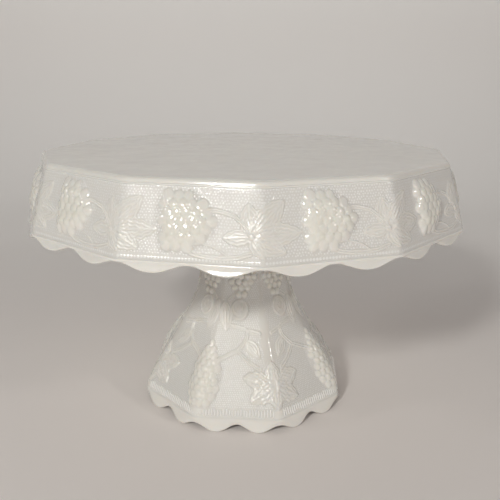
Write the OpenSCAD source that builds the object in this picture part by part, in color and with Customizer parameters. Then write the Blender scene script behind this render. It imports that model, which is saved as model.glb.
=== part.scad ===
// Footed cake stand in pressed milk glass.
// A twelve-sided plate with a scalloped apron is fused, through a wafer of glass,
// to a hollow eight-sided pedestal. Millimetres, +Z up, with the origin in the
// middle of the rest plane. Every polygon has a corner on +X, and its radii are
// measured to the corners.

/* [Overall] */
// Height from the rest plane to the cake surface
stand_h = 170; // [150:1:200]

/* [Plate] */
// Number of flat sides of the plate
plate_sides = 12; // [8, 10, 12]
// Radius of the rim at its corners
rim_r = 131.5; // [110:1:160]
// Thickness of the cake surface
plate_t = 6; // [5:0.5:9]
// Rounding of the rim's edge
rim_round = 2.6; // [2:0.1:4]
// Height of the apron, from the cake surface to the lobe tips
apron_h = 44.5; // [36:0.5:56]
// How far the apron's lower edge stands out past the rim
apron_flare = 12; // [5:0.5:16]
// Wall of the apron
apron_wall = 5; // [4:0.5:7]
// Height of the smooth band under the relief
apron_band = 7; // [6:0.5:9]
// Depth of the scallops between the lobes
scallop_depth = 4.4; // [3:0.1:6]
// Flat at the tip of each lobe
lobe_land = 5; // [3:0.5:7]

/* [Pedestal] */
// Number of flat sides of the pedestal
foot_sides = 8; // [6, 8, 10, 12]
// Radius of the foot at its corners
foot_r = 73; // [62:0.5:88]
// Height of the upright band at the bottom
shoulder_h = 12; // [10:0.5:15]
// Radius of the foot at the top of that band
shoulder_r = 71; // [60:0.5:86]
// Height at which the straight flank ends
knee_h = 64; // [52:1:77]
// Radius at the top of the straight flank
knee_r = 39.5; // [36:0.5:48]
// Radius of the neck at its narrowest
neck_r = 29.5; // [26:0.5:36]
// Length of the neck from there to its top
neck_len = 46; // [36:1:56]
// Radius of the neck's top
collar_r = 31; // [30:0.5:37]
// Wall of the pedestal at the middle of each flat
foot_wall = 5.5; // [4.5:0.5:7]
// Solid glass left above the hollow
neck_solid = 36; // [28:1:44]
// Height of the smooth edge under the relief of the foot
foot_band = 8; // [6.5:0.5:9.5]
// Depth of the scallops in the foot
foot_scallop = 4.5; // [3:0.1:6]
// Flat ground on the tip of each foot lobe
foot_land = 7; // [5:0.5:8]

/* [Fused joint] */
// Radius of the boss under the plate
boss_r = 24; // [20:0.5:25]
// Height of that boss
boss_h = 4; // [3:0.5:6]
// Radius of the wafer
wafer_r = 26; // [24:0.5:28]
// Thickness of the wafer
wafer_t = 4; // [3:0.5:6]

/* [Relief] */
// Radius of the grape cluster on each plate panel
cluster_r = 13; // [10:0.5:14]
// Height of the clusters over the ground
cluster_rise = 3; // [2:0.2:4]
// Height of the raised beads that edge the relief
bead_rise = 0.6; // [0.4:0.1:1]
// Width of those beads
bead_w = 1.4; // [1:0.1:2]

/* [Hidden] */
glass = [0.93, 0.92, 0.89];
joint_glass = [0.88, 0.87, 0.84];
fine = 64;
slack = 1;

lobes_per_side = 2;
arc_steps = 5;
half_side = 180 / plate_sides;
half_face = 180 / foot_sides;

// Plate heights and the corner radii that go with them
under_z = stand_h - plate_t;
tip_z = stand_h - apron_h;
band_z = tip_z + apron_band;
bead_z = stand_h - rim_round - bead_w;
apron_r = rim_r + apron_flare;
wall_corner = apron_wall / cos(half_side);

// Joint and pedestal heights
boss_z = under_z - boss_h;
pedestal_h = boss_z - wafer_t;
neck_z = pedestal_h - neck_len;
hollow_h = pedestal_h - neck_solid;
flank_slope = (knee_r - shoulder_r) / (knee_h - shoulder_h);

// Corner radius of the apron's outer face at a height
function apron_at(z) = rim_r + apron_flare * (stand_h - rim_round - z) / (apron_h - rim_round);

// Corner radius of the pedestal at a height
function bell_at(z) =
    z <= shoulder_h ? foot_r + (shoulder_r - foot_r) * z / shoulder_h :
    z <= knee_h ? shoulder_r + flank_slope * (z - shoulder_h) :
    z <= neck_z ? sweep(knee_r, neck_r, flank_slope * (neck_z - knee_h),
                        (z - knee_h) / (neck_z - knee_h)) :
    neck_r + (collar_r - neck_r) * pow((z - neck_z) / neck_len, 2);

// A smooth curve from a to b that leaves a with the given slope and reaches b level
function sweep(a, b, slope, t) =
    a * (1 - 3 * t * t + 2 * t * t * t) + slope * (t - 2 * t * t + t * t * t)
    + b * (3 * t * t - 2 * t * t * t);

function quarter(x, z, r, from, to) =
    [for (i = [0 : arc_steps]) let (a = from + (to - from) * i / arc_steps)
        [x + r * cos(a), z + r * sin(a)]];

// Radius of a lobe's arc that leaves a flat at its tip and rises to the given depth
function lobe_r(half, depth, land) =
    sqrt(half * half + pow((half * half - land * land / 4 - depth * depth) / (2 * depth), 2));

module plate_outside() {
    rotate_extrude($fn = plate_sides)
        polygon(concat(
            [[0, stand_h]],
            quarter(rim_r - rim_round, stand_h - rim_round, rim_round, 90, 0),
            [[apron_at(bead_z + bead_w / 2) + bead_rise, bead_z],
             [apron_at(bead_z - bead_w / 2), bead_z - bead_w / 2],
             [apron_at(band_z + bead_w), band_z + bead_w],
             [apron_at(band_z + bead_w / 2) + bead_rise, band_z + bead_w / 2],
             [apron_at(band_z), band_z],
             [apron_r, tip_z],
             [0, tip_z]]));
}

module plate_inside() {
    rotate_extrude($fn = plate_sides)
        polygon(concat(
            [[0, tip_z - slack], [apron_r - wall_corner, tip_z - slack],
             [apron_r - wall_corner, tip_z]],
            quarter(apron_at(under_z) - wall_corner - plate_t, under_z - plate_t, plate_t, 0, 90),
            [[0, under_z]]));
}

// The gap between two lobes, as a prism that runs outwards along +X
module scallop(half, depth, land, from, to) {
    r = lobe_r(half, depth, land);
    translate([from, 0, 0])
        rotate([90, 0, 90])
            linear_extrude(to - from)
                difference() {
                    translate([-half + land * 0.45, -slack])
                        square([2 * half - land * 0.9, depth + slack]);
                    for (side = [-1, 1])
                        translate([side * half, sqrt(r * r - land * land / 4)])
                            circle(r, $fn = fine);
                }
}

module apron_scallops() {
    lobes = plate_sides * lobes_per_side;
    mid_r = (apron_r - wall_corner / 2) * (1 + cos(half_side)) / 2;
    for (i = [0 : lobes - 1])
        rotate([0, 0, i * 360 / lobes])
            translate([0, 0, tip_z])
                scallop(mid_r * tan(180 / lobes), scallop_depth, lobe_land,
                        (rim_r - wall_corner) * cos(half_side) - 2 * slack - apron_wall,
                        apron_r + 2 * slack);
}

// Low domes that stand for the grape clusters, one in the middle of each panel
module plate_clusters() {
    dome_r = (cluster_r * cluster_r + cluster_rise * cluster_rise) / (2 * cluster_rise);
    dome_half = asin(cluster_r / dome_r);
    tilt = atan(apron_flare * cos(half_side) / (apron_h - rim_round));
    z = (bead_z + band_z + bead_w) / 2;
    for (i = [0 : plate_sides - 1])
        rotate([0, 0, (i + 0.5) * 360 / plate_sides])
            translate([apron_at(z) * cos(half_side), 0, z])
                rotate([0, 90 - tilt, 0])
                    rotate_extrude($fn = fine)
                        polygon(concat(
                            [[0, -apron_wall / 2], [cluster_r, -apron_wall / 2]],
                            quarter(0, cluster_rise - dome_r, dome_r, 90 - dome_half, 90)));
}

module cake_plate() {
    color(glass)
        union() {
            difference() {
                plate_outside();
                plate_inside();
                apron_scallops();
            }
            plate_clusters();
            translate([0, 0, boss_z])
                cylinder(r = boss_r, h = boss_h + slack, $fn = fine);
        }
}

module joint_wafer() {
    edge = wafer_t / 2;
    color(joint_glass)
        translate([0, 0, pedestal_h])
            rotate_extrude($fn = fine)
                polygon(concat(
                    [[0, 0]],
                    [for (i = [0 : 2 * arc_steps]) let (a = -90 + 90 * i / arc_steps)
                        [wafer_r - edge + edge * cos(a), edge + edge * sin(a)]],
                    [[0, wafer_t]]));
}

module pedestal_blank() {
    flank_steps = 12;
    rotate_extrude($fn = foot_sides)
        polygon(concat(
            [[0, 0], [bell_at(0), 0],
             [bell_at(foot_band - bead_w / 2), foot_band - bead_w / 2],
             [bell_at(foot_band) + bead_rise, foot_band],
             [bell_at(foot_band + bead_w / 2), foot_band + bead_w / 2],
             [shoulder_r, shoulder_h]],
            [for (i = [0 : flank_steps])
                let (z = knee_h + (pedestal_h - knee_h) * i / flank_steps) [bell_at(z), z]],
            [[0, pedestal_h]]));
}

module pedestal_hollow() {
    steps = 10;
    dome = hollow_h - knee_h;
    flat = cos(half_face);
    top_in = bell_at(hollow_h) * flat - 2 * foot_wall;
    knee_in = bell_at(knee_h) * flat - foot_wall;
    rotate_extrude($fn = fine)
        polygon(concat(
            [[0, -slack], [bell_at(-slack) * flat - foot_wall, -slack],
             [shoulder_r * flat - foot_wall, shoulder_h]],
            [for (i = [0 : steps]) let (t = i / steps)
                [sweep(knee_in, top_in, flank_slope * flat * dome, t),
                 knee_h + dome * t]],
            quarter(0, hollow_h, top_in, 0, 90)));
}

module foot_scallops() {
    lobes = foot_sides * lobes_per_side;
    mid_r = (foot_r - foot_wall / 2) * (1 + cos(half_face)) / 2;
    for (i = [0 : lobes - 1])
        rotate([0, 0, i * 360 / lobes])
            scallop(mid_r * tan(180 / lobes), foot_scallop, foot_land,
                    foot_r * cos(half_face) - 3 * foot_wall, foot_r + 2 * slack);
}

// Grape clusters that hang on every other corner of the pedestal
module foot_clusters() {
    for (side = [0 : 2 : foot_sides - 1])
        rotate([0, 0, side * 360 / foot_sides])
            for (berry = [[0.8, 7], [0.69, 8.5], [0.57, 9.5], [0.44, 9], [0.33, 7.5]])
                let (z = knee_h * berry[0])
                    translate([bell_at(z) + cluster_rise - berry[1], 0, z])
                        rotate([0, 0, 180])
                            sphere(berry[1], $fn = fine);
}

module pedestal() {
    color(glass)
        difference() {
            union() {
                pedestal_blank();
                foot_clusters();
            }
            pedestal_hollow();
            foot_scallops();
        }
}

cake_plate();
joint_wafer();
pedestal();
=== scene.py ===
import math
import bpy
import numpy as np
from mathutils import Matrix, Vector


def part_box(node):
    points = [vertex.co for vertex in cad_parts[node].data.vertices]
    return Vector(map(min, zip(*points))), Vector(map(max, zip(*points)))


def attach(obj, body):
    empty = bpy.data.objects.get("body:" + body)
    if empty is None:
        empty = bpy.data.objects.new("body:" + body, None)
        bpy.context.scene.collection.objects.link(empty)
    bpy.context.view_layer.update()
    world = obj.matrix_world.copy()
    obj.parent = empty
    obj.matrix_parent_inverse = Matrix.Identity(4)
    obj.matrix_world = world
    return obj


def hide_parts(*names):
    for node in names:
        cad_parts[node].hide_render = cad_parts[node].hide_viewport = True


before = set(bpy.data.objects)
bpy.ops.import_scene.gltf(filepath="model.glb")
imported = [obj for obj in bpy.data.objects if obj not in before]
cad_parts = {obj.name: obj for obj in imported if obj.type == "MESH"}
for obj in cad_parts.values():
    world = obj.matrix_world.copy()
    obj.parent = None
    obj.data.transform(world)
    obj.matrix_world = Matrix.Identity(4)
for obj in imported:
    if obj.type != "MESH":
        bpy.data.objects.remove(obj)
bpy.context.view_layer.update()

# A footed cake stand in pressed milk glass. Lengths in the dictionaries are millimetres.
mm = 0.001
plateLow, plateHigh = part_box("cake_plate")
waferLow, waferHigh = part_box("joint_wafer")
bellLow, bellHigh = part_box("pedestal")
topZ = plateHigh[2] / mm
lobeZ = plateLow[2] / mm
waferZ = waferHigh[2] / mm
neckTopZ = bellHigh[2] / mm
apronReach = plateHigh[0] / mm
scene = bpy.context.scene
rng = np.random.default_rng(11)
print("frame read: plate top", round(topZ, 1), "mm, pedestal top", round(neckTopZ, 1), "mm")

glassLook = {
    "body": (0.845, 0.830, 0.785),       # milk white
    "thick": (0.800, 0.790, 0.715),      # in the thick of the grapes
    "ground": (0.720, 0.704, 0.664),     # between the dots of the stipple, darker than the body: painted shade
    "groundRough": 0.42,
    # lighter than the body: a painted highlight for the glint on each dot
    "dot": (0.93, 0.92, 0.89),
    "thin": 0.955,                       # where the white is thinner
    "cloudScale": 34.0,
    "wearScale": 204.0,
    "roughLow": 0.07,
    "roughHigh": 0.15,
    "specular": 0.80,
    "coat": 0.3,
    "dotCoat": 1.0,
    "coatRough": 0.05,
    "glow": 0.55,                        # share of light that goes into the glass
    "glowDepth": 1.2,
    "rippleScale": 60.0,                 # fire polish
    "rippleDepth": 0.5,
    "grainScale": 800.0,
    "grainDepth": 0.02,
}


def milkGlass(name, look, glow, body, coat):
    mat = bpy.data.materials.new(name)
    mat.use_nodes = True
    nodes, links = mat.node_tree.nodes, mat.node_tree.links
    nodes.clear()
    out = nodes.new("ShaderNodeOutputMaterial")
    shade = nodes.new("ShaderNodeBsdfPrincipled")
    links.new(shade.outputs["BSDF"], out.inputs["Surface"])
    coord = nodes.new("ShaderNodeTexCoord")

    def noise(scale, detail):
        tex = nodes.new("ShaderNodeTexNoise")
        tex.inputs["Scale"].default_value = scale
        tex.inputs["Detail"].default_value = detail
        links.new(coord.outputs["Object"], tex.inputs["Vector"])
        return tex.outputs["Fac"]

    def remap(value, low, high, toLow, toHigh):
        node = nodes.new("ShaderNodeMapRange")
        limits = {"From Min": low, "From Max": high, "To Min": toLow, "To Max": toHigh}
        for socket, number in limits.items():
            node.inputs[socket].default_value = number
        links.new(value, node.inputs["Value"])
        return node.outputs["Result"]

    def blend(share, a, b):
        node = nodes.new("ShaderNodeMix")
        node.data_type = "RGBA"
        links.new(share, node.inputs["Factor"])
        for socket, colour in ((node.inputs[6], a), (node.inputs[7], b)):
            if isinstance(colour, tuple):
                socket.default_value = (*colour, 1.0)
            else:
                links.new(colour, socket)
        return node.outputs[2]

    def bump(height, distance, below=None):
        node = nodes.new("ShaderNodeBump")
        node.inputs["Strength"].default_value = 0.35
        node.inputs["Distance"].default_value = distance * mm
        links.new(height, node.inputs["Height"])
        if below:
            links.new(below, node.inputs["Normal"])
        return node.outputs["Normal"]

    clouds = remap(noise(look["cloudScale"], 3.0), 0.35, 0.65, 0.0, 1.0)
    white = blend(clouds, tuple(c * look["thin"] for c in body), body)
    moulding = nodes.new("ShaderNodeAttribute")
    moulding.attribute_name = "moulding"     # millimetres above the ground of the pattern
    thick = remap(moulding.outputs["Fac"], 1.0, 4.0, 0.0, 0.8)
    white = blend(thick, white, look["thick"])
    dullShadedGround = nodes.new("ShaderNodeAttribute")
    dullShadedGround.attribute_name = "dullShadedGround"           # 1 on the dull ground between the dots, where painted shade darkens the colour
    # painted shade: the ground between the dots takes the darker ground colour
    links.new(blend(dullShadedGround.outputs["Fac"], white, look["ground"]), shade.inputs["Base Color"])
    wear = remap(noise(look["wearScale"], 4.0), 0.35, 0.70, look["roughLow"], look["roughHigh"])
    dull = nodes.new("ShaderNodeMath")
    dull.operation = "MULTIPLY_ADD"
    dull.inputs[1].default_value = look["groundRough"]
    links.new(dullShadedGround.outputs["Fac"], dull.inputs[0])
    links.new(wear, dull.inputs[2])
    links.new(dull.outputs["Value"], shade.inputs["Roughness"])
    ripple = bump(noise(look["rippleScale"], 1.0), look["rippleDepth"])
    links.new(bump(noise(look["grainScale"], 2.0), look["grainDepth"], ripple), shade.inputs["Normal"])
    shade.inputs["IOR"].default_value = 1.5
    shade.inputs["Specular IOR Level"].default_value = look["specular"]
    shade.inputs["Coat Weight"].default_value = coat
    shade.inputs["Coat Roughness"].default_value = look["coatRough"]
    shade.inputs["Subsurface Weight"].default_value = glow
    shade.inputs["Subsurface Radius"].default_value = (1.0, 0.85, 0.7)
    shade.inputs["Subsurface Scale"].default_value = look["glowDepth"] * mm
    return mat


glass = milkGlass(
    "pressedMilkGlass", glassLook, glassLook["glow"], glassLook["body"], glassLook["coat"]
)
# the dots and the fringe strokes take the lighter dot colour, a painted highlight
dotGlass = milkGlass(                    # a dot is too small to glow inside
    "stippledMilkGlass", glassLook, 0.0, glassLook["dot"], glassLook["dotCoat"]
)


def sideDistance(theta, sides, crisp):
    # outline of a polygon with soft corners, apothem 1, one corner on +X
    total = np.zeros_like(theta)
    for k in range(sides):
        facing = np.cos(theta - (k + 0.5) * 2 * math.pi / sides)
        total = total + np.clip(facing, 1e-6, None) ** crisp
    return total ** (-1.0 / crisp)


def ease(x, low, high):
    t = np.clip((x - low) / (high - low), 0.0, 1.0)
    return t * t * (3 - 2 * t)


def scallopWave(theta, lobes):
    # 1 between two lobes, 0 at a lobe's tip
    return (0.5 + 0.5 * np.cos(lobes * theta)) ** 1.15


def strokeDistance(x, y, path):
    best = np.full(np.shape(x), 1e9)
    for (ax, ay), (bx, by) in zip(path[:-1], path[1:]):
        dx, dy = bx - ax, by - ay
        t = np.clip(((x - ax) * dx + (y - ay) * dy) / (dx * dx + dy * dy), 0, 1)
        best = np.minimum(best, np.hypot(x - ax - t * dx, y - ay - t * dy))
    return best


def ridge(distance, width, height):
    return height * np.exp(-(distance / width) ** 2)


def petal(x, y, root, tip, halfWidth, look):
    # one lobe of a leaf: low body, raised outline, midrib and a vein that follows the outline
    dx, dy = tip[0] - root[0], tip[1] - root[1]
    length = math.hypot(dx, dy)
    along = ((x - root[0]) * dx + (y - root[1]) * dy) / length
    across = (-(x - root[0]) * dy + (y - root[1]) * dx) / length
    t = np.clip(along / length, 0.0, 1.0)
    wide = halfWidth * np.sin(math.pi * t ** look["fullness"]) ** 0.75
    wide = wide * (1 + look["jag"] * np.cos(2 * math.pi * along / look["jagPitch"])) + 0.35
    outside = (along < -0.5) | (along > length + 0.4)
    edge = np.where(outside, -5.0, wide - np.abs(across))          # distance inside the outline
    crown = np.sqrt(np.clip(1 - (across / wide) ** 2, 0, 1)) * (edge > 0)
    body = look["body"] * (0.45 * ease(edge, -0.3, 0.6) + 0.55 * crown)
    wave = 0.5 + 0.5 * np.cos(2 * math.pi * (edge - 0.4) / look["linePitch"])
    lines = look["vein"] * wave ** 1.6 * ease(edge, -0.3, 0.2)
    lines = np.maximum(lines, ridge(across, 0.42, look["vein"] * 1.15) * (edge > 0))
    shown = ease(t, 0.04, 0.16) * (1 - ease(t, 0.95, 1.0))
    return body + lines * shown


def beadField(x, y, beads, rise):
    # many berries, each running smoothly into the next
    total = np.zeros(np.shape(x))
    for bx, by, br in beads:
        total += np.clip(br * br - (x - bx) ** 2 - (y - by) ** 2, 0, None) ** 2
    return total ** 0.25 * rise


def raised(high, fade):
    # height over the ground; a faded end dips under the bare glass
    return (high * fade + 0.05 - 0.2 * (1 - fade))[..., None]


def polar(radius, theta, z):
    return np.stack([radius * np.cos(theta), radius * np.sin(theta), z + 0 * theta], axis=-1)


def acrossTo(first, second):
    n = np.cross(first, second)
    return n / np.linalg.norm(n, axis=-1, keepdims=True)


def gridNormals(points):
    # of a ring of columns, with rows going down: outwards
    alongCols = np.roll(points, -1, axis=1) - np.roll(points, 1, axis=1)
    n = np.cross(np.gradient(points, axis=0), alongCols)
    return n / np.maximum(np.linalg.norm(n, axis=2, keepdims=True), 1e-12)


def adopt(piece):
    scene.collection.objects.link(piece)
    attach(piece, "root")
    return piece


def meshPiece(name, verts, faces, normals=None, layers=()):
    mesh = bpy.data.meshes.new(name)
    mesh.from_pydata((verts * mm).tolist(), [], faces)
    mesh.polygons.foreach_set("use_smooth", [True] * len(mesh.polygons))
    mesh.materials.append(glass)
    for label, values in layers:
        layer = mesh.attributes.new(label, "FLOAT", "POINT")
        layer.data.foreach_set("value", values.astype(np.float32))
    mesh.update()
    if normals is not None:
        mesh.normals_split_custom_set_from_vertices(normals.tolist())
    return adopt(bpy.data.objects.new(name, mesh))


def gridFaces(rows, cols, closed, start=0):
    faces = []
    for i in range(rows - 1):
        for j in range(cols if closed else cols - 1):
            a, b = start + i * cols + j, start + i * cols + (j + 1) % cols
            faces.append((a, a + cols, b + cols, b))
    return faces


def ringBody(name, rings):
    # a closed body from rings of points, the first and last of which are one point each
    points = np.array(rings)
    rows, cols = points.shape[:2]
    verts = np.concatenate([points[0, :1], points[1:-1].reshape(-1, 3), points[-1, :1]])
    faces = gridFaces(rows - 2, cols, True, 1)
    last, base = len(verts) - 1, 1 + (rows - 3) * cols
    for j in range(cols):
        k = (j + 1) % cols
        faces += [(0, 1 + j, 1 + k), (last, base + k, base + j)]
    return meshPiece(name, verts, faces)


def reliefShell(name, front, normals, back, moulding, dullShadedGround):
    # a closed slab: a fine relief in front, a coarse grid behind, and a rim that joins them
    rows, cols = front.shape[:2]
    backRows = back.shape[0]
    verts = np.concatenate([front.reshape(-1, 3), back.reshape(-1, 3)])
    backNormals = -normals[np.linspace(0, rows - 1, backRows).astype(int)]
    allNormals = np.concatenate([normals.reshape(-1, 3), backNormals.reshape(-1, 3)])
    faces = gridFaces(rows, cols, False)
    start = rows * cols
    faces += [f[::-1] for f in gridFaces(backRows, cols, False, start)]
    lastFront, lastBack = (rows - 1) * cols, start + (backRows - 1) * cols
    for j in range(cols - 1):
        faces.append((j, j + 1, start + j + 1, start + j))
        faces.append((lastFront + j + 1, lastFront + j, lastBack + j, lastBack + j + 1))
    frontEdge = [i * cols for i in range(rows)]
    backEdge = [start + i * cols for i in range(backRows)]
    faces.append(tuple(frontEdge[::-1] + backEdge))
    faces.append(tuple(i + cols - 1 for i in frontEdge + backEdge[::-1]))
    hidden = np.zeros(backRows * cols)
    layers = [
        ("moulding", np.concatenate([moulding.ravel(), hidden])),
        ("dullShadedGround", np.concatenate([dullShadedGround.ravel(), hidden])),
    ]
    return meshPiece(name, verts, faces, allNormals, layers)


def cutRing(grid, part, parts):
    cols = grid.shape[1]
    each = cols // parts
    return grid[:, [j % cols for j in range(part * each, (part + 1) * each + 1)]]


def beadTree(name, kind):
    # a small bead on every point, turned to the glass and sized by the point
    tree = bpy.data.node_groups.new(name, "GeometryNodeTree")
    for label, socketType in (
        ("Geometry", "NodeSocketGeometry"),
        ("Bead Size", "NodeSocketFloat"),
        ("Bead Sides", "NodeSocketInt"),
        ("Finish", "NodeSocketMaterial"),
    ):
        tree.interface.new_socket(label, in_out="INPUT", socket_type=socketType)
    tree.interface.new_socket("Geometry", in_out="OUTPUT", socket_type="NodeSocketGeometry")
    nodes, links = tree.nodes, tree.links
    entry, leave = nodes.new("NodeGroupInput"), nodes.new("NodeGroupOutput")
    place = nodes.new("GeometryNodeInstanceOnPoints")
    links.new(entry.outputs["Geometry"], place.inputs["Points"])
    soft = nodes.new("GeometryNodeSetShadeSmooth")
    if kind == "stroke":
        shape = nodes.new("GeometryNodeMeshIcoSphere")
        links.new(entry.outputs["Bead Sides"], shape.inputs["Subdivisions"])
    else:
        shape = nodes.new("GeometryNodeMeshCone")
        shape.inputs["Radius Bottom"].default_value = 1.0
        shape.inputs["Radius Top"].default_value = 0.0
        shape.inputs["Depth"].default_value = 1.0
        links.new(entry.outputs["Bead Sides"], shape.inputs["Vertices"])
    links.new(shape.outputs["Mesh"], soft.inputs["Geometry"])
    links.new(soft.outputs["Geometry"], place.inputs["Instance"])
    facing = nodes.new("GeometryNodeInputNamedAttribute")
    facing.data_type = "FLOAT_VECTOR"
    facing.inputs["Name"].default_value = "outward"
    turn = nodes.new("FunctionNodeAlignRotationToVector")
    turn.axis = "Z"
    links.new(facing.outputs["Attribute"], turn.inputs["Vector"])
    upright = nodes.new("FunctionNodeAlignRotationToVector")
    upright.axis = "Y"
    upright.pivot_axis = "Z"
    upright.inputs["Vector"].default_value = (0, 0, 1)
    links.new(turn.outputs["Rotation"], upright.inputs["Rotation"])
    links.new(upright.outputs["Rotation"], place.inputs["Rotation"])
    sizes = nodes.new("GeometryNodeInputNamedAttribute")
    sizes.data_type = "FLOAT_VECTOR"
    sizes.inputs["Name"].default_value = "beadScale"
    grow = nodes.new("ShaderNodeVectorMath")
    grow.operation = "SCALE"
    links.new(sizes.outputs["Attribute"], grow.inputs[0])
    links.new(entry.outputs["Bead Size"], grow.inputs["Scale"])
    links.new(grow.outputs["Vector"], place.inputs["Scale"])
    real = nodes.new("GeometryNodeRealizeInstances")
    links.new(place.outputs["Instances"], real.inputs["Geometry"])
    paint = nodes.new("GeometryNodeSetMaterial")
    links.new(real.outputs["Geometry"], paint.inputs["Geometry"])
    links.new(entry.outputs["Finish"], paint.inputs["Material"])
    links.new(paint.outputs["Geometry"], leave.inputs["Geometry"])
    return tree


dotTree = beadTree("stippleDots", "dot")
strokeTree = beadTree("fringeStrokes", "stroke")


def domeNormals(mesh, places, outward, scales, slope):
    # a low cone shaded as a dome: upright at the tip, leaning out by the slope at the base
    co = np.empty(len(mesh.vertices) * 3)
    mesh.vertices.foreach_get("co", co)
    away = co.reshape(len(places), -1, 3) / mm - places[:, None]
    up = outward[:, None]
    away = away - (away * up).sum(axis=2, keepdims=True) * up
    lean = (up + slope * away / scales[:, None, :1]).reshape(-1, 3)
    lean = lean / np.linalg.norm(lean, axis=1, keepdims=True)
    mesh.normals_split_custom_set_from_vertices(lean.tolist())


def beadPiece(name, tree, places, outward, scales, sides, slope):
    # runs a bead tree over a cloud of points and keeps the result as a plain mesh
    cloud = bpy.data.meshes.new(name + "Points")
    cloud.vertices.add(len(places))
    cloud.vertices.foreach_set("co", (places * mm).ravel())
    for label, vectors in (("outward", outward), ("beadScale", scales)):
        layer = cloud.attributes.new(label, "FLOAT_VECTOR", "POINT")
        layer.data.foreach_set("vector", vectors.ravel())
    holder = bpy.data.objects.new(name + "Holder", cloud)
    scene.collection.objects.link(holder)
    mod = holder.modifiers.new("beads", "NODES")
    mod.node_group = tree
    wanted = {"Bead Size": mm, "Bead Sides": sides, "Finish": dotGlass}
    for item in tree.interface.items_tree:
        if item.in_out == "INPUT" and item.name in wanted:
            mod[item.identifier] = wanted[item.name]
    bpy.context.view_layer.update()
    depsgraph = bpy.context.evaluated_depsgraph_get()
    mesh = bpy.data.meshes.new_from_object(holder.evaluated_get(depsgraph))
    mesh.name = name
    bpy.data.objects.remove(holder)
    bpy.data.meshes.remove(cloud)
    if slope:
        domeNormals(mesh, places, outward, scales, slope)
    return adopt(bpy.data.objects.new(name, mesh))


def dotSizes(radius, height, count):
    vary = rng.uniform(0.85, 1.12, count)
    return np.stack([radius * vary, radius * vary, height * vary + 0.05], axis=1)


def report(piece):
    print(piece.name, sum(len(p.vertices) - 2 for p in piece.data.polygons), "triangles")


plateShape = {
    "sides": 12,
    "lobes": 24,
    "crisp": 260.0,              # how sharp the twelve corners are
    "plateThick": 6.0,
    "rimRound": 2.6,
    "flare": 12.0,
    "wall": 5.0,
    "wallMiddle": 24.0,          # down from the top, where the inner face is straight again
    "edgeRound": 1.0,
    "sunk": 0.8,                 # the body lies this far under the pattern
    "cadScallop": 4.4,
    "scallop": 3.9,
    "lobeBulge": 0.45,
    "beadDown": 2.9,             # raised line under the rim
    "beadRise": 0.32,
    "ridgeDown": 38.9,           # raised line above the smooth band
    "ridgeRise": 0.45,
    "bossRadius": 24.0,
    "columnsPerSide": 44,
}
halfSide = math.pi / plateShape["sides"]
apronTall = topZ - lobeZ
# The box is as wide as the corners between two lobes.
cuspDown = apronTall - plateShape["cadScallop"] - plateShape["rimRound"]
rimCorner = apronReach - plateShape["flare"] * cuspDown / (apronTall - plateShape["rimRound"])


def apronApothem(down):
    p = plateShape
    share = (np.asarray(down, float) - p["rimRound"]) / (apronTall - p["rimRound"])
    return (rimCorner + p["flare"] * np.clip(share, -0.2, 1.2)) * math.cos(halfSide)


def cakePlateBody():
    p = plateShape
    cols = p["sides"] * p["columnsPerSide"]
    theta = np.arange(cols) * 2 * math.pi / cols
    outline = sideDistance(theta, p["sides"], p["crisp"])
    cusp = scallopWave(theta, p["lobes"])
    edgeDown = apronTall - p["scallop"] * cusp
    rings = []

    def ring(apothem, z, shape=outline):
        rings.append(polar(apothem * shape, theta, z))

    flat = apronApothem(p["rimRound"]) - p["rimRound"]
    for share in (0.0, 0.25, 0.5, 0.75, 0.93, 0.985, 1.0):
        ring(flat * share, topZ)
    for step in range(1, 9):                                      # rounded rim
        a = math.radians(90 - step * 90 / 8)
        ring(flat + p["rimRound"] * math.cos(a), topZ - p["rimRound"] + p["rimRound"] * math.sin(a))
    for shift, rise in ((-0.3, 0.5), (0.0, 1.0), (0.35, 0.75), (0.6, 0.0)):
        down = p["beadDown"] + shift
        ring(apronApothem(down) + p["beadRise"] * rise, topZ - down)
    for down in (3.8, 20.0, 37.9):                                # sunk behind the vine
        ring(apronApothem(down) - p["sunk"], topZ - down)
    for shift, rise in ((-0.6, 0.0), (-0.35, 0.7), (0.0, 1.0), (0.4, 0.6), (0.9, 0.0)):
        down = p["ridgeDown"] + shift
        ring(apronApothem(down) + p["ridgeRise"] * rise, topZ - down)
    bandTop = p["ridgeDown"] + 0.95
    bandEnd = edgeDown - p["edgeRound"]
    swell = p["lobeBulge"] * (1 - cusp) - 0.3 * cusp
    for step in range(1, 7):                                      # smooth band down to the lobes
        t = step / 6
        down = np.maximum(bandTop + (bandEnd - bandTop) * t, bandTop)
        ring(apronApothem(down) + swell * t * t, topZ - down)
    half = p["wall"] / 2
    outerEdge = apronApothem(bandEnd) + swell
    for step in range(1, 13):                                     # rounded lower edge
        a = math.pi * step / 12
        lower = topZ - bandEnd - (edgeDown - bandEnd) * math.sin(a)
        ring(outerEdge - half + half * math.cos(a), lower)
    for step in range(1, 6):                                      # inner face of the apron
        down = bandEnd + (p["wallMiddle"] - bandEnd) * step / 5
        ring(apronApothem(down) - p["wall"] + swell * (1 - step / 5), topZ - down)
    fillet = p["plateThick"]
    under = apronApothem(2 * fillet) - p["wall"] - fillet
    for step in range(0, 9):                                      # inner corner
        a = math.radians(step * 90 / 8)
        ring(under + fillet * math.cos(a), topZ - 2 * fillet + fillet * math.sin(a))
    ring(under - 1.0, topZ - fillet)
    ring(under * 0.6, topZ - fillet)
    boss = p["bossRadius"]
    for r, z in (
        (34.0, topZ - fillet),
        (boss + 3.2, topZ - fillet),
        (boss + 1.2, topZ - fillet - 0.4),
        (boss + 0.3, topZ - fillet - 1.4),
        (boss, waferZ + 1.0),
        (boss - 0.5, waferZ + 0.05),
        (0.0, waferZ + 0.05),
    ):
        ring(r, z, np.ones_like(theta))
    return ringBody("cakePlate", rings)


cakePlate = cakePlateBody()
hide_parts("cake_plate")
report(cakePlate)

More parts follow.
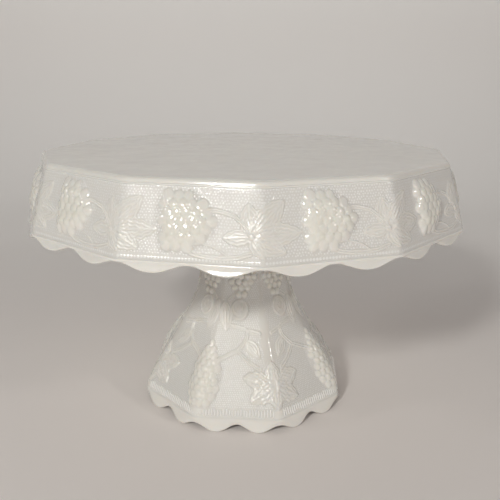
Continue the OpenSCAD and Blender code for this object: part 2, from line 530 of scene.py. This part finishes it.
vineRelief = {
    "from": 3.1,                 # under the raised line
    "to": 38.8,
    "columnsPerSide": 156,
    "rows": 86,
    "sections": 4,
    "depth": 4.2,
    "mound": 2.7,                # the swelling under the grapes
    "moundEdge": (-2.2, 7.5),    # from outside the bunch's outline to inside it
    "grapePitch": 4.8,
    "grapeTop": 8.0,
    "grapeRow": 3.85,
    "grapeRadius": 2.85,
    "grapeRise": 0.29,
    "grapeFloor": 0.32,          # the gaps between grapes are no deeper than this
    "leaf": {
        "body": 0.26, "vein": 0.30, "linePitch": 1.75, "fullness": 0.85, "jag": 0.05, "jagPitch": 3.6,
    },
    "leafHub": 0.9,
    "stemWidth": 0.40,
    "stippleFrom": 4.2,
    "stippleTo": 35.9,
    "stipplePitch": 1.52,
    "stippleRadius": 0.60,
    "stippleHeight": 0.21,
    "stippleSlope": 0.27,
    "stippleClear": 0.22,        # no dots where the pattern stands higher than this
    "edgeDotPitch": 1.7,
    "edgeDotRadius": 0.86,
    "edgeDotHeight": 0.34,
}
bunchOutline = (                 # across a panel from its middle, and down from the top
    (-14.6, 8.0), (-8.0, 5.6), (3.2, 6.2), (9.0, 12.6), (14.4, 18.2),
    (11.4, 25.4), (5.0, 30.6), (-3.0, 33.2), (-13.6, 32.4), (-16.0, 20.0),
)


def bunchInside(x, down):
    inside = np.full(np.shape(x), 1e9)
    for (ax, ay), (bx, by) in zip(bunchOutline, bunchOutline[1:] + bunchOutline[:1]):
        side = (bx - ax) * (down - ay) - (by - ay) * (x - ax)
        inside = np.minimum(inside, side / math.hypot(bx - ax, by - ay))
    return inside


apronGrapes = []
for row in range(7):
    for i in range(-4, 5):
        x = (i + 0.5 * (row % 2)) * vineRelief["grapePitch"] - 0.8 + rng.uniform(-0.5, 0.5)
        down = vineRelief["grapeTop"] + row * vineRelief["grapeRow"] + rng.uniform(-0.5, 0.5)
        size = vineRelief["grapeRadius"] * rng.uniform(0.88, 1.06)
        if bunchInside(x, down) > 0.9:
            apronGrapes.append((x, down, size))
leafHeart = (-5.4, 25.2)         # from the corner of the plate, and down from its top
apronLeaf = (                    # tip and half width of each lobe
    ((-6.6, 10.2), 4.8),
    ((10.4, 8.8), 5.6),
    ((19.5, 23.8), 5.4),
    ((11.5, 33.0), 4.4),
    ((0.6, 34.8), 3.4),
    ((-19.4, 26.4), 3.4),
)
apronStems = (                   # half width between its two lines, height, path from a panel's middle
    (0.55, 0.7, ((9.0, 14.2), (12.5, 14.0), (17.0, 14.8), (21.5, 16.2), (26.0, 19.6), (30.6, 25.0))),
    (0.65, 0.6, ((-1.5, 31.0), (0.4, 33.2), (4.0, 34.5), (9.5, 35.3), (17.0, 35.6), (24.0, 34.9),
                 (30.0, 33.0))),
    (0.0, 0.5, ((-1.0, 31.6), (2.0, 30.0), (6.5, 29.5), (11.0, 30.2), (15.5, 32.0), (19.0, 34.4))),
)


def apronRelief(x, corner, down):
    # the swelling, the pattern on it, and how polished it is
    p = vineRelief
    mound = p["mound"] * ease(bunchInside(x, down), *p["moundEdge"])
    berries = beadField(x, down, apronGrapes, p["grapeRise"])
    high = np.maximum(berries, p["grapeFloor"] * ease(berries, 0.0, 0.5))
    glossy = ease(high, 0.1, 0.3)
    for tip, wide in apronLeaf:
        high = np.maximum(high, petal(corner, down, leafHeart, tip, wide, p["leaf"]))
    hub = np.hypot(corner - leafHeart[0], down - leafHeart[1])
    high = np.maximum(high, p["leafHub"] * (1 - ease(hub, 0.8, 2.4)))
    for apart, rise, path in apronStems:
        off = np.abs(strokeDistance(x, down, path) - apart)
        high = np.maximum(high, ridge(off, p["stemWidth"], rise))
    return mound, high, np.maximum(glossy, 0.55 * ease(high, 0.15, 0.4))


def apronGround(theta, down):
    r = apronApothem(down) * sideDistance(theta, plateShape["sides"], plateShape["crisp"])
    return polar(r, theta, topZ - down)


def apronOut(theta, down):
    around = apronGround(theta + 1e-4, down) - apronGround(theta - 1e-4, down)
    drop = apronGround(theta, down + 0.01) - apronGround(theta, down - 0.01)
    return acrossTo(drop, around)


def apronPlaces(theta, down):
    # distance along a panel from its middle, and from the nearest corner
    m = np.mod(theta, 2 * halfSide) - halfSide
    apothem = apronApothem(down)
    x, half = apothem * np.tan(m), apothem * math.tan(halfSide)
    return x, np.where(m > 0, x - half, x + half)


def apronVine():
    p = vineRelief
    cols = plateShape["sides"] * p["columnsPerSide"]
    theta = (np.arange(cols) + 0.5) * 2 * math.pi / cols
    turn, down = np.meshgrid(theta, np.linspace(p["from"], p["to"], p["rows"]))
    mound, high, glossy = apronRelief(*apronPlaces(turn, down), down)
    high = mound + high
    fade = ease(down, p["from"], p["from"] + 0.9) * (1 - ease(down, p["to"] - 0.9, p["to"]))
    front = apronGround(turn, down) + apronOut(turn, down) * raised(high, fade)
    normals = gridNormals(front)
    # the dull ground between the dots, which is also the mask for the painted shade there
    dullShadedGround = fade * (1 - glossy)
    turn, down = np.meshgrid(theta, np.linspace(p["from"], p["to"], 3))
    back = apronGround(turn, down) - apronOut(turn, down) * p["depth"]
    for part in range(p["sections"]):
        grids = (front, normals, back, high * fade, dullShadedGround)
        pick = [cutRing(g, part, p["sections"]) for g in grids]
        report(reliefShell("apronVine%d" % (part + 1), *pick))


apronVine()


def dotCloud(name, tree, batches, sides, slope=0.0):
    places, outward, scales = (np.concatenate(part) for part in zip(*batches))
    report(beadPiece(name, tree, places, outward, scales, sides, slope))


def apronStipple():
    p = vineRelief
    pitch = p["stipplePitch"]
    half = apronApothem(20.0) * math.tan(halfSide)
    spots = []
    for row, down in enumerate(np.arange(p["stippleFrom"], p["stippleTo"], pitch * 0.87)):
        for x in np.arange(-half + 0.4 + (row % 2) * pitch / 2, half - 0.3, pitch):
            spot = (x + rng.uniform(-0.30, 0.30), down + rng.uniform(-0.26, 0.26))
            spots.append((*spot, p["stippleRadius"], p["stippleHeight"]))
    for x in np.arange(-half + 0.5, half - 0.3, p["edgeDotPitch"]):
        spots.append((x, p["stippleTo"] + 0.95, p["edgeDotRadius"], p["edgeDotHeight"]))
    x, down, radius, height = np.array(spots).T
    batches = []
    for side in range(plateShape["sides"]):
        theta = (side + 0.5) * 2 * halfSide + np.arctan(x / apronApothem(down))
        mound, high = apronRelief(*apronPlaces(theta, down), down)[:2]
        clear = high < p["stippleClear"]
        ground, n = apronGround(theta[clear], down[clear]), apronOut(theta[clear], down[clear])
        sizes = dotSizes(radius[clear], height[clear], clear.sum())
        batches.append((ground + n * mound[clear, None], n, sizes))
    dotCloud("apronStipple", dotTree, batches, 6, p["stippleSlope"])


apronStipple()

pedestalShape = {
    "faces": 8,
    "lobes": 16,
    "crispFoot": 62.0,           # how sharp the eight corners are
    "crispNeck": 36.0,
    "foot": 73.0,                # corner radii, bottom to top
    "shoulder": 71.0,
    "shoulderZ": 12.0,
    "knee": 39.5,
    "kneeZ": 64.0,
    "neck": 29.5,
    "neckLength": 46.0,
    "collar": 31.0,
    "wall": 5.5,
    "neckSolid": 36.0,
    "scallop": 4.3,
    "lobeBulge": 0.3,
    "edgeRound": 1.1,
    "bandTop": 9.0,
    "vineTop": 126.5,
    "plainNeck": (150.0, 138.0, 127.5),
    "sunk": 0.8,                 # the body lies this far under the pattern
    "columnsPerFace": 52,
}
halfFace = math.pi / pedestalShape["faces"]
neckZ = neckTopZ - pedestalShape["neckLength"]
flankRise = pedestalShape["kneeZ"] - pedestalShape["shoulderZ"]
flankSlope = (pedestalShape["knee"] - pedestalShape["shoulder"]) / flankRise


def sweep(a, b, slope, t):
    # leaves a with the given slope and reaches b level
    return a * (1 - 3 * t**2 + 2 * t**3) + slope * (t - 2 * t**2 + t**3) + b * (3 * t**2 - 2 * t**3)


def bellApothem(z):
    p = pedestalShape
    z = np.asarray(z, float)
    low = p["foot"] + (p["shoulder"] - p["foot"]) * z / p["shoulderZ"]
    flank = p["shoulder"] + flankSlope * (z - p["shoulderZ"])
    shoulder = (low + flank) / 2 - np.sqrt(((low - flank) / 2) ** 2 + 0.4)       # the break is soft
    t = np.clip((z - p["kneeZ"]) / (neckZ - p["kneeZ"]), 0, 1)
    bend = sweep(p["knee"], p["neck"], flankSlope * (neckZ - p["kneeZ"]), t)
    flute = p["neck"] + (p["collar"] - p["neck"]) * (np.clip(z - neckZ, 0, None) / p["neckLength"]) ** 2
    corner = np.where(z < p["kneeZ"], shoulder, np.where(z < neckZ, bend, flute))
    return corner * math.cos(halfFace)


def bellSides(theta, z):
    p = pedestalShape
    crisp = p["crispFoot"] + (p["crispNeck"] - p["crispFoot"]) * ease(z, 16.0, 46.0)
    return sideDistance(theta, p["faces"], crisp)


def pedestalBody():
    p = pedestalShape
    cols = p["faces"] * p["columnsPerFace"]
    theta = np.arange(cols) * 2 * math.pi / cols
    outline = bellSides(theta, 0.0)
    cusp = scallopWave(theta, p["lobes"])
    edgeZ = p["scallop"] * cusp
    rings = []

    def ring(radius, z):
        rings.append(polar(radius, theta, z))

    ring(0.0, neckTopZ - 0.02)
    ring(p["collar"] * 0.88 * bellSides(theta, neckTopZ), neckTopZ - 0.02)
    ring(p["collar"] * 0.91 * bellSides(theta, neckTopZ), neckTopZ - 0.3)
    for z in (neckTopZ - 1.2, *p["plainNeck"]):
        ring(bellApothem(z) * bellSides(theta, z), z)
    for z in np.linspace(p["vineTop"], p["bandTop"] + 1.4, 40):   # sunk behind the vine
        ring((bellApothem(z) - p["sunk"]) * bellSides(theta, z), z)
    ring(bellApothem(p["bandTop"] + 0.4) * bellSides(theta, p["bandTop"] + 0.4), p["bandTop"] + 0.4)
    bandEnd = edgeZ + p["edgeRound"]
    swell = p["lobeBulge"] * (1 - cusp) - 0.9 * cusp
    for step in range(1, 8):
        t = step / 7
        z = p["bandTop"] + (bandEnd - p["bandTop"]) * t
        ring((bellApothem(z) + swell * t * t) * outline, z)
    outerEdge = (bellApothem(bandEnd) + swell) * outline
    half = p["wall"] / 2
    for step in range(1, 13):                                     # rounded lower edge
        a = math.pi * step / 12
        ring(outerEdge - half + half * math.cos(a), bandEnd - (bandEnd - edgeZ) * math.sin(a))
    hollowTop = neckTopZ - p["neckSolid"]
    shoulderIn = bellApothem(p["shoulderZ"]) - p["wall"]
    kneeIn = bellApothem(p["kneeZ"]) - p["wall"]
    topIn = bellApothem(hollowTop) - 2 * p["wall"]
    for t in np.arange(1, 6) / 5:                                 # up the inside
        inner = outerEdge - p["wall"] + (shoulderIn - outerEdge + p["wall"]) * t
        ring(inner, bandEnd + (p["shoulderZ"] - bandEnd) * t)
    for t in np.arange(1, 8) / 7:
        ring(shoulderIn + (kneeIn - shoulderIn) * t, p["shoulderZ"] + flankRise * t)
    rise = hollowTop - p["kneeZ"]
    for t in np.arange(1, 11) / 10:
        inner = sweep(kneeIn, topIn, flankSlope * math.cos(halfFace) * rise, t)
        ring(inner, p["kneeZ"] + rise * t)
    for step in range(1, 8):                                      # domed end of the hollow
        a = math.radians(90 * step / 7)
        ring(topIn * math.cos(a), hollowTop + topIn * math.sin(a))
    rings[-1][:, :2] = 0.0
    return ringBody("pedestalGlass", rings)


pedestalGlass = pedestalBody()
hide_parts("pedestal")
report(pedestalGlass)

bellRelief = {
    "from": 9.0,
    "to": pedestalShape["vineTop"],
    "columnsPerFace": 92,
    "rows": 208,
    "sections": 2,
    "depth": 4.2,
    "bunchMound": 2.4,
    "bunchWide": 12.5,
    "bunchTall": 20.0,
    "bunchZ": 30.0,
    "grapeRadius": 2.4,
    "grapeRise": 0.40,
    "grapeFloor": 0.30,
    "neckPitch": 4.1,
    "neckRow": 3.9,
    "neckTop": 99.0,
    "neckRadius": 2.2,
    "neckRise": 0.6,
    "leaf": {
        "body": 0.75, "vein": 0.34, "linePitch": 2.0, "fullness": 0.85, "jag": 0.08, "jagPitch": 4.2,
    },
    "smallLeaf": {
        "body": 0.34, "vein": 0.28, "linePitch": 1.8, "fullness": 0.95, "jag": 0.0, "jagPitch": 4.0,
    },
    "stemApart": 0.65,
    "stemWidth": 0.42,
    "stemRise": 0.75,
    "stippleFrom": 16.0,
    "stippleTo": 120.0,
    "stipplePitch": 1.46,
    "stippleRadius": 0.58,
    "stippleHeight": 0.21,
    "stippleSlope": 0.27,
    "stippleClear": 0.22,
    "fringeFrom": -25.2,
    "fringeTo": 24.0,
    "fringePitch": 1.85,
    "fringeZ": 12.7,
    "strokeWide": 0.6,
    "strokeTall": 2.7,
    "strokeRise": 0.45,
}
bunchRows = (                    # height, and distances from a grape corner
    (50.2, (0.0,)),
    (47.0, (2.1,)),
    (43.4, (0.0, 4.2)),
    (39.8, (2.1, 6.2)),
    (36.2, (0.0, 4.2, 8.2)),
    (32.5, (2.1, 6.3)),
    (28.8, (0.0, 4.2, 8.4)),
    (25.0, (2.1, 6.3, 10.2)),
    (21.2, (0.0, 4.2, 8.4)),
    (17.6, (2.1, 6.2)),
)
bunchGrapes = []
for z, line in bunchRows:
    for d in line:
        spot = (d + rng.uniform(-0.25, 0.25) * (d > 0), z + rng.uniform(-0.3, 0.3))
        bunchGrapes.append((*spot, bellRelief["grapeRadius"] * rng.uniform(0.92, 1.05)))
neckGrapes = []
for row, count in enumerate((3, 4, 5, 4, 3, 2)):
    for i in range(count):
        across = (i - (count - 1) / 2) * bellRelief["neckPitch"] + rng.uniform(-0.4, 0.4)
        z = bellRelief["neckTop"] - row * bellRelief["neckRow"] + rng.uniform(-0.4, 0.4)
        neckGrapes.append((across, z, bellRelief["neckRadius"]))
bellHeart = (0.0, 27.5)          # of the large leaf, from a leaf corner
bellLeaf = (((19.5, 32.0), 5.4), ((17.5, 18.6), 4.8), ((0.0, 41.0), 5.0), ((0.0, 14.6), 5.2))
sprigLeaves = (((-9.2, 57.5), (-10.5, 75.5), 4.0), ((4.0, 52.6), (13.2, 42.8), 3.4))
roseRings = ((-0.8, 70.0, 5.4), (-1.6, 70.8, 3.2), (-1.0, 71.6, 1.2))
bellStems = (                    # across a face from its middle, towards the leaf corner
    ((-6.5, 60.6), (-2.0, 60.0), (2.0, 59.0), (5.0, 58.0), (12.5, 56.4)),
    ((4.8, 57.8), (4.4, 53.5), (1.8, 49.8), (-1.0, 46.8)),
    ((-1.0, 46.8), (-6.0, 44.6), (-12.0, 41.8)),
    ((-1.0, 46.8), (2.0, 43.8), (7.0, 40.0), (13.5, 36.6)),
    ((-8.0, 76.0), (-4.0, 79.0), (0.0, 82.0)),
)


def bellReliefHeight(theta, z):
    p = bellRelief
    u, fromGrape, fromLeaf = bellPlaces(theta, z)
    reach = np.hypot(fromGrape / p["bunchWide"], (z - p["bunchZ"]) / p["bunchTall"])
    mound = p["bunchMound"] * np.clip(1 - reach ** 2.4, 0, None) ** 1.3
    bunch = beadField(fromGrape, z, bunchGrapes, p["grapeRise"])
    high = np.maximum(bunch, p["grapeFloor"] * ease(bunch, 0.0, 0.5))
    neck = beadField(u, z, neckGrapes, p["neckRise"])
    high = np.maximum(high, neck + p["neckRise"] * ease(neck, 0.0, 0.8))
    glossy = ease(high, 0.1, 0.3)
    for tip, wide in bellLeaf:
        high = np.maximum(high, petal(fromLeaf, z, bellHeart, tip, wide, p["leaf"]))
    hub = np.hypot(fromLeaf, z - bellHeart[1])
    high = np.maximum(high, (p["leaf"]["body"] + 0.3) * (1 - ease(hub, 3.0, 6.5)))
    for root, tip, wide in sprigLeaves:
        high = np.maximum(high, petal(u, z, root, tip, wide, p["smallLeaf"]))
    for across, up, radius in roseRings:
        ring = np.hypot(u - across, (z - up) * 0.92)
        disc = 0.75 * (1 - ease(ring, radius - 0.6, radius + 0.7))
        high = np.maximum(high, disc + ridge(ring - radius, 0.5, 0.55))
    for path in bellStems:
        off = np.abs(strokeDistance(u, z, path) - p["stemApart"])
        high = np.maximum(high, ridge(off, p["stemWidth"], p["stemRise"]))
    return mound, high, np.maximum(glossy, 0.6 * ease(high, 0.15, 0.4))


def bellGround(theta, z):
    return polar(bellApothem(z) * bellSides(theta, z), theta, z)


def bellOut(theta, z):
    around = bellGround(theta + 1e-4, z) - bellGround(theta - 1e-4, z)
    rise = bellGround(theta, z + 0.05) - bellGround(theta, z - 0.05)
    return acrossTo(around, rise)


def bellPlaces(theta, z):
    # across a face from its middle, and from its grape and leaf corners
    index = np.floor(np.mod(theta, 2 * math.pi) / (2 * halfFace))
    m = np.mod(theta, 2 * halfFace) - halfFace
    apothem = bellApothem(z)
    u = apothem * np.tan(m) * np.where(np.mod(index, 2) == 0, 1.0, -1.0)
    half = apothem * math.tan(halfFace)
    return u, u + half, half - u


def bellVine():
    p = bellRelief
    cols = pedestalShape["faces"] * p["columnsPerFace"]
    theta = (np.arange(cols) + 0.5) * 2 * math.pi / cols
    turn, z = np.meshgrid(theta, np.linspace(p["to"], p["from"], p["rows"]))
    mound, high, glossy = bellReliefHeight(turn, z)
    high = mound + high
    fade = ease(z, p["from"], p["from"] + 1.0) * (1 - ease(z, p["to"] - 1.2, p["to"]))
    front = bellGround(turn, z) + bellOut(turn, z) * raised(high, fade)
    normals = gridNormals(front)
    dullShadedGround = (1 - glossy) * ease(z, 14.0, 15.5)          # the foot and its fringe are polished and get no painted shade
    turn, z = np.meshgrid(theta, np.linspace(p["to"], p["from"], 24))
    back = bellGround(turn, z) - bellOut(turn, z) * p["depth"]
    for part in range(p["sections"]):
        grids = (front, normals, back, high * fade, dullShadedGround)
        pick = [cutRing(g, part, p["sections"]) for g in grids]
        report(reliefShell("pedestalVine%d" % (part + 1), *pick))


bellVine()


def bellSpots():
    # stipple on each face, with a plain border along the leaf corner
    p = bellRelief
    pitch = p["stipplePitch"]
    spots = []
    for row, z in enumerate(np.arange(p["stippleFrom"], p["stippleTo"], pitch * 0.76)):
        half = float(bellApothem(z)) * math.tan(halfFace)
        border = 0.8 + 3.2 * (1 - float(ease(z, 55.0, 80.0)))
        for u in np.arange(-half + 1.4 + (row % 2) * pitch / 2, half - border, pitch):
            spots.append((u + rng.uniform(-0.17, 0.17), z + rng.uniform(-0.13, 0.13)))
    return np.array(spots).T


def onFaces(u, z):
    for face in range(pedestalShape["faces"]):
        way = 1.0 if face % 2 == 0 else -1.0
        yield (face + 0.5) * 2 * halfFace + way * np.arctan(u / bellApothem(z))


def bellStipple():
    p = bellRelief
    u, z = bellSpots()
    batches = []
    for theta in onFaces(u, z):
        mound, high = bellReliefHeight(theta, z)[:2]
        clear = high < p["stippleClear"]
        ground, n = bellGround(theta[clear], z[clear]), bellOut(theta[clear], z[clear])
        sizes = dotSizes(p["stippleRadius"], p["stippleHeight"], clear.sum())
        batches.append((ground + n * mound[clear, None], n, sizes))
    half = len(batches) // 2
    dotCloud("pedestalStipple1", dotTree, batches[:half], 6, p["stippleSlope"])
    dotCloud("pedestalStipple2", dotTree, batches[half:], 6, p["stippleSlope"])


bellStipple()


def footFringe():
    # short upright strokes along the foot of every face
    p = bellRelief
    u = np.arange(p["fringeFrom"], p["fringeTo"], p["fringePitch"])
    z = p["fringeZ"] + 0.4 * np.sin(u * 0.7)
    batches = []
    for theta in onFaces(u, z):
        tall = p["strokeTall"] * rng.uniform(0.85, 1.1, len(u))
        sizes = np.stack([0 * u + p["strokeWide"], tall, 0 * u + p["strokeRise"]], axis=1)
        batches.append((bellGround(theta, z), bellOut(theta, z), sizes))
    dotCloud("footFringe", strokeTree, batches, 2)


footFringe()

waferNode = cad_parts["joint_wafer"]
waferNode.data.materials.clear()
waferNode.data.materials.append(glass)
print("wafer finished")

setting = {
    "floor": (0.86, 0.815, 0.79),
    "eyeDistance": 423.2,
    "eyeHeight": 217.4,
    "eyeTurn": 26.0,             # degrees round the stand from -Y
    "eyeDown": 15.36,
    "eyeRoll": 0.31,
    "standLeft": 3.6,
    "lens": 45.89,
    "key": {
        "turn": -22, "rise": 27, "distance": 1.3,
        "size": (0.12, 0.12), "power": 6.4, "colour": (1.0, 0.997, 0.955),
    },
    "leftSpark": {
        "turn": -78, "rise": 24, "distance": 1.2,
        "size": (0.07, 0.07), "power": 0.9, "colour": (1.0, 0.96, 0.93),
    },
    "rightSpark": {
        "turn": 56, "rise": 26, "distance": 1.2,
        "size": (0.07, 0.07), "power": 1.3, "colour": (1.0, 0.95, 0.92),
    },
    "fill": {
        "turn": 16, "rise": 8, "distance": 1.6,
        "size": (1.3, 0.8), "power": 5.0, "colour": (1.0, 0.945, 0.91),
    },
    "wall": {
        "turn": 180, "rise": 62, "distance": 1.0,
        "size": (1.6, 0.4), "power": 3.3, "colour": (0.88, 1.0, 1.0),
    },
    "lampAim": 0.11,             # height that the lamps face, in metres
    "sheetHalf": 3.0,            # the pale sheet, in metres
    "sheetBack": 0.60,
    "sheetBend": 0.3,
    "sheetTop": 2.4,
    "air": (0.80, 0.765, 0.75),
    "airStrength": 0.17,
}


def studioSheet():
    s = setting
    mat = bpy.data.materials.new("paleSheet")
    mat.use_nodes = True
    shade = mat.node_tree.nodes["Principled BSDF"]
    shade.inputs["Base Color"].default_value = (*s["floor"], 1.0)
    shade.inputs["Roughness"].default_value = 0.9
    turn = Matrix.Rotation(math.radians(s["eyeTurn"]), 3, "Z")
    half, back, bend = s["sheetHalf"], s["sheetBack"], s["sheetBend"]
    profile = [(-half, 0.0), (back, 0.0)]
    for a in np.radians(np.arange(7.5, 91, 7.5)):
        profile.append((back + bend * math.sin(a), bend - bend * math.cos(a)))
    profile.append((back + bend, s["sheetTop"]))
    verts = [turn @ Vector((side, y, z)) for y, z in profile for side in (-half, half)]
    faces = [(2 * i, 2 * i + 1, 2 * i + 3, 2 * i + 2) for i in range(len(profile) - 1)]
    mesh = bpy.data.meshes.new("studioSheet")
    mesh.from_pydata(verts, [], faces)
    mesh.polygons.foreach_set("use_smooth", [True] * len(mesh.polygons))
    mesh.materials.append(mat)
    sheet = bpy.data.objects.new("studioSheet", mesh)
    scene.collection.objects.link(sheet)


def lamp(name, look, onSheet=False, soft=False):
    eyeTurn = math.radians(setting["eyeTurn"])
    turn, rise = eyeTurn + math.radians(look["turn"]), math.radians(look["rise"])
    data = bpy.data.lights.new(name, "AREA")
    data.shape = "RECTANGLE"
    data.size, data.size_y = look["size"]
    data.energy = look["power"]
    data.color = look["colour"]
    level = math.cos(rise)
    away = Vector((math.sin(turn) * level, -math.cos(turn) * level, math.sin(rise)))
    light = bpy.data.objects.new(name, data)
    light.location = Vector((0, 0, setting["lampAim"])) + away * look["distance"]
    light.rotation_euler = away.to_track_quat("Z", "Y").to_euler()
    if onSheet:                          # turned away, to the sheet behind
        back = Vector((-math.sin(eyeTurn), math.cos(eyeTurn), -0.35))
        light.rotation_euler = (-back).to_track_quat("Z", "Y").to_euler()
    light.visible_camera = False
    light.visible_glossy = not soft      # a soft lamp leaves no white square on the glass
    scene.collection.objects.link(light)


def eye():
    s = setting
    data = bpy.data.cameras.new("eye")
    data.sensor_width = 36.0
    data.lens = s["lens"]
    data.clip_start, data.clip_end = 0.01, 20.0
    cam = bpy.data.objects.new("eye", data)
    scene.collection.objects.link(cam)
    turn = Matrix.Rotation(math.radians(s["eyeTurn"]), 4, "Z")
    place = Matrix.Translation(Vector((s["standLeft"], -s["eyeDistance"], s["eyeHeight"])) * mm)
    tilt = Matrix.Rotation(math.radians(90 - s["eyeDown"]), 4, "X")
    cam.matrix_world = turn @ place @ tilt @ Matrix.Rotation(math.radians(s["eyeRoll"]), 4, "Z")
    scene.camera = cam


studioSheet()
lamp("keyLight", setting["key"])
lamp("leftSpark", setting["leftSpark"])
lamp("rightSpark", setting["rightSpark"])
lamp("fillLight", setting["fill"], soft=True)
lamp("wallLight", setting["wall"], onSheet=True)
eye()
world = bpy.data.worlds.new("studioAir")
world.use_nodes = True
air = world.node_tree.nodes["Background"]
air.inputs["Color"].default_value = (*setting["air"], 1.0)
air.inputs["Strength"].default_value = setting["airStrength"]
scene.world = world
scene.view_settings.view_transform = "Standard"
print("studio and camera set")
